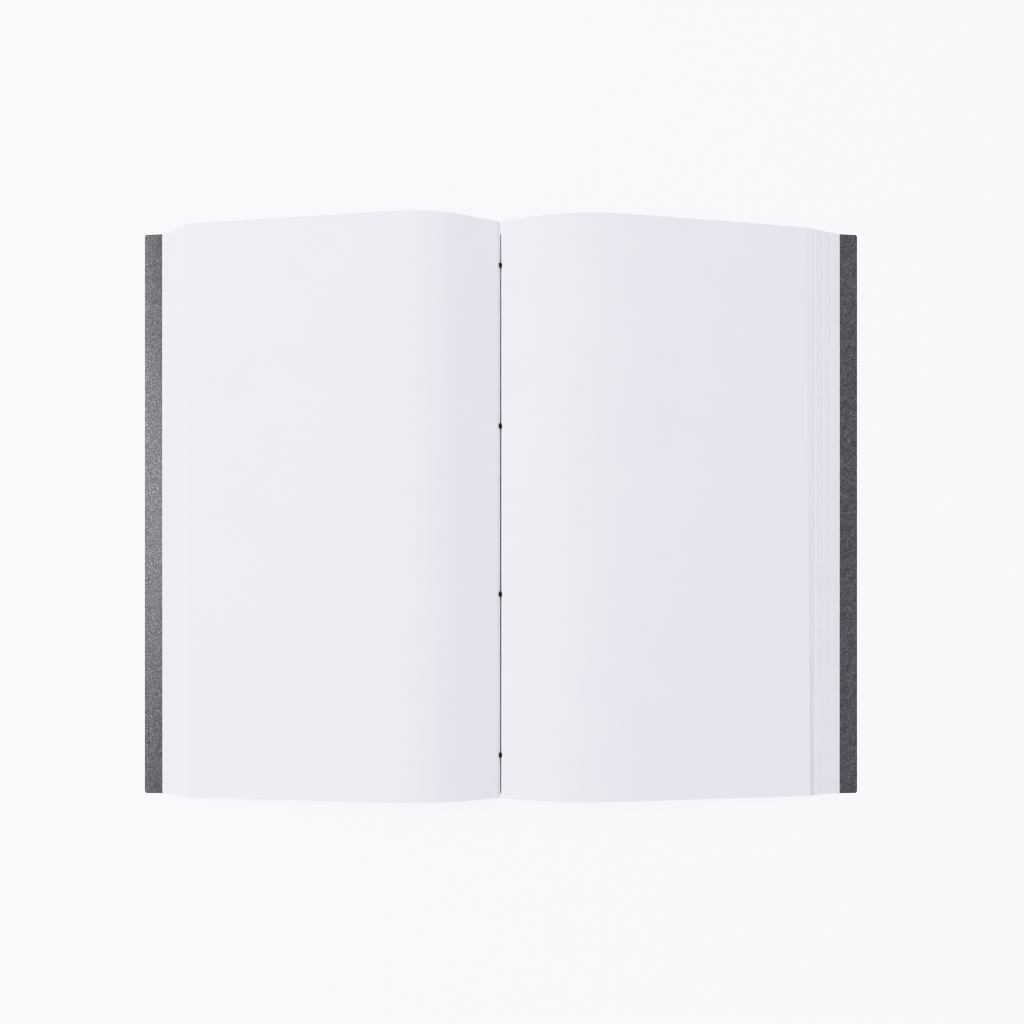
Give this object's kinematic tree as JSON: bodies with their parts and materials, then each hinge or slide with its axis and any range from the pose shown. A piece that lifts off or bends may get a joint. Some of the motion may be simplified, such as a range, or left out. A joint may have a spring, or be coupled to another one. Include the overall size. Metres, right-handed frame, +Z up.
{
  "type": "sketchbook",
  "caption": "Open thread-sewn sketchbook with a soft leather-grain cover: the covers fold shut on scored hinges and a drawing leaf turns across the gutter.",
  "frame": {"origin": "on the table surface under the middle of the spine, which is the bottom centre of the box around the open book", "axes": "+X across the spread from the front cover to the back cover, +Y along the spine towards the head, +Z up from the table"},
  "size_m": [0.268, 0.21, 0.0201],
  "materials": {
    "cover_leather": "grained, satin",
    "lining": "fine woven, matt",
    "paper": "uncoated, matt",
    "thread": "waxed thread"
  },
  "bodies": {
    "spine": {"cover_spine": "cover_leather", "spine_lining": "lining", "front_section_1_back_fold": "paper", "front_section_2_back_fold": "paper", "front_section_3_back_fold": "paper", "front_section_4_back_fold": "paper", "back_section_1_back_fold": "paper", "back_section_2_back_fold": "paper", "back_section_3_back_fold": "paper", "back_section_4_back_fold": "paper", "sewing_thread_1": "thread", "sewing_thread_2": "thread", "sewing_thread_3": "thread", "sewing_thread_4": "thread"},
    "front_hinge": {"cover_front_hinge": "cover_leather"},
    "front_cover": {"cover_front": "cover_leather"},
    "front_section_1_inner": {"front_section_1_inner": "paper"},
    "front_section_1_outer": {"front_section_1_outer": "paper"},
    "front_section_2_inner": {"front_section_2_inner": "paper"},
    "front_section_2_outer": {"front_section_2_outer": "paper"},
    "front_section_3_inner": {"front_section_3_inner": "paper"},
    "front_section_3_outer": {"front_section_3_outer": "paper"},
    "front_section_4_inner": {"front_section_4_inner": "paper"},
    "front_section_4_outer": {"front_section_4_outer": "paper"},
    "back_hinge": {"cover_back_hinge": "cover_leather"},
    "back_cover": {"cover_back": "cover_leather"},
    "back_section_1_inner": {"back_section_1_inner": "paper"},
    "back_section_1_outer": {"back_section_1_outer": "paper"},
    "back_section_2_inner": {"back_section_2_inner": "paper"},
    "back_section_2_outer": {"back_section_2_outer": "paper"},
    "back_section_3_inner": {"back_section_3_inner": "paper"},
    "back_section_3_outer": {"back_section_3_outer": "paper"},
    "back_section_4_inner": {"back_section_4_inner": "paper"},
    "back_section_4_outer": {"back_section_4_outer": "paper"},
    "leaf_inner": {"leaf_inner": "paper"},
    "leaf_crest": {"leaf_crest": "paper"},
    "leaf_outer": {"leaf_outer": "paper"}
  },
  "joints": [
    {"name": "front_swing", "type": "hinge", "parent": "spine", "child": "front_hinge", "pos_m": [-0.00445, 0, 0.001], "axis": [0, 1, 0], "range_deg": [0, 90]},
    {"name": "front_cover_open", "type": "hinge", "parent": "front_hinge", "child": "front_cover", "pos_m": [-0.01145, 0, 0], "axis": [0, 1, 0], "range_deg": [-90, 0]},
    {"name": "front_section_1_fold", "type": "hinge", "parent": "spine", "child": "front_section_1_inner", "pos_m": [-0.0044, 0, 0.004], "axis": [0, 1, 0], "range_deg": [0, 79.17]},
    {"name": "front_section_1_bend", "type": "hinge", "parent": "front_section_1_inner", "child": "front_section_1_outer", "pos_m": [-0.03, 0, 0.0089], "axis": [0, 1, 0], "range_deg": [0, 15.47]},
    {"name": "front_section_2_fold", "type": "hinge", "parent": "spine", "child": "front_section_2_inner", "pos_m": [-0.00335, 0, 0.0061], "axis": [0, 1, 0], "range_deg": [0, 76.41]},
    {"name": "front_section_2_bend", "type": "hinge", "parent": "front_section_2_inner", "child": "front_section_2_outer", "pos_m": [-0.029, 0, 0.0123], "axis": [0, 1, 0], "range_deg": [0, 18.98]},
    {"name": "front_section_3_fold", "type": "hinge", "parent": "spine", "child": "front_section_3_inner", "pos_m": [-0.0023, 0, 0.00815], "axis": [0, 1, 0], "range_deg": [0, 73.83]},
    {"name": "front_section_3_bend", "type": "hinge", "parent": "front_section_3_inner", "child": "front_section_3_outer", "pos_m": [-0.028, 0, 0.0156], "axis": [0, 1, 0], "range_deg": [0, 22.26]},
    {"name": "front_section_4_fold", "type": "hinge", "parent": "spine", "child": "front_section_4_inner", "pos_m": [-0.00125, 0, 0.0102], "axis": [0, 1, 0], "range_deg": [0, 71.33]},
    {"name": "front_section_4_bend", "type": "hinge", "parent": "front_section_4_inner", "child": "front_section_4_outer", "pos_m": [-0.027, 0, 0.0189], "axis": [0, 1, 0], "range_deg": [0, 25.48]},
    {"name": "back_swing", "type": "hinge", "parent": "spine", "child": "back_hinge", "pos_m": [0.00445, 0, 0.001], "axis": [0, -1, 0], "range_deg": [0, 90]},
    {"name": "back_cover_open", "type": "hinge", "parent": "back_hinge", "child": "back_cover", "pos_m": [0.01145, 0, 0], "axis": [0, -1, 0], "range_deg": [-90, 0]},
    {"name": "back_section_1_fold", "type": "hinge", "parent": "spine", "child": "back_section_1_inner", "pos_m": [0.0044, 0, 0.004], "axis": [0, -1, 0], "range_deg": [0, 80.09]},
    {"name": "back_section_1_bend", "type": "hinge", "parent": "back_section_1_inner", "child": "back_section_1_outer", "pos_m": [0.029, 0, 0.0083], "axis": [0, -1, 0], "range_deg": [0, 14.14]},
    {"name": "back_section_2_fold", "type": "hinge", "parent": "spine", "child": "back_section_2_inner", "pos_m": [0.00335, 0, 0.0061], "axis": [0, -1, 0], "range_deg": [0, 77.64]},
    {"name": "back_section_2_bend", "type": "hinge", "parent": "back_section_2_inner", "child": "back_section_2_outer", "pos_m": [0.028, 0, 0.0115], "axis": [0, -1, 0], "range_deg": [0, 17.83]},
    {"name": "back_section_3_fold", "type": "hinge", "parent": "spine", "child": "back_section_3_inner", "pos_m": [0.0023, 0, 0.00815], "axis": [0, -1, 0], "range_deg": [0, 75.15]},
    {"name": "back_section_3_bend", "type": "hinge", "parent": "back_section_3_inner", "child": "back_section_3_outer", "pos_m": [0.027, 0, 0.0147], "axis": [0, -1, 0], "range_deg": [0, 21.59]},
    {"name": "back_section_4_fold", "type": "hinge", "parent": "spine", "child": "back_section_4_inner", "pos_m": [0.00125, 0, 0.0102], "axis": [0, -1, 0], "range_deg": [0, 72.72]},
    {"name": "back_section_4_bend", "type": "hinge", "parent": "back_section_4_inner", "child": "back_section_4_outer", "pos_m": [0.026, 0, 0.0179], "axis": [0, -1, 0], "range_deg": [0, 25.3]},
    {"name": "leaf_turn", "type": "hinge", "parent": "front_section_4_inner", "child": "leaf_inner", "pos_m": [-0.00092, 0, 0.01118], "axis": [0, -1, 0], "range_deg": [-142, 0]},
    {"name": "leaf_crest_bend", "type": "hinge", "parent": "leaf_inner", "child": "leaf_crest", "pos_m": [-0.02689, 0, 0.01995], "axis": [0, 1, 0], "range_deg": [0, 25.48]},
    {"name": "leaf_edge_lift", "type": "hinge", "parent": "leaf_crest", "child": "leaf_outer", "pos_m": [-0.03882, 0, 0.01865], "axis": [0, -1, 0], "range_deg": [-60, 0]}
  ],
  "couplings": [
    {"joint": "front_section_1_fold", "follows": "front_swing", "ratio": 0.8796},
    {"joint": "front_section_1_bend", "follows": "front_swing", "ratio": 0.17184},
    {"joint": "front_section_2_fold", "follows": "front_swing", "ratio": 0.84902},
    {"joint": "front_section_2_bend", "follows": "front_swing", "ratio": 0.2109},
    {"joint": "front_section_3_fold", "follows": "front_swing", "ratio": 0.82038},
    {"joint": "front_section_3_bend", "follows": "front_swing", "ratio": 0.24735},
    {"joint": "front_section_4_fold", "follows": "front_swing", "ratio": 0.79257},
    {"joint": "front_section_4_bend", "follows": "front_swing", "ratio": 0.28309},
    {"joint": "back_section_1_fold", "follows": "back_swing", "ratio": 0.88983},
    {"joint": "back_section_1_bend", "follows": "back_swing", "ratio": 0.15713},
    {"joint": "back_section_2_fold", "follows": "back_swing", "ratio": 0.86271},
    {"joint": "back_section_2_bend", "follows": "back_swing", "ratio": 0.19808},
    {"joint": "back_section_3_fold", "follows": "back_swing", "ratio": 0.83498},
    {"joint": "back_section_3_bend", "follows": "back_swing", "ratio": 0.23982},
    {"joint": "back_section_4_fold", "follows": "back_swing", "ratio": 0.80798},
    {"joint": "back_section_4_bend", "follows": "back_swing", "ratio": 0.28108},
    {"joint": "leaf_crest_bend", "follows": "front_swing", "ratio": 0.28309}
  ]
}
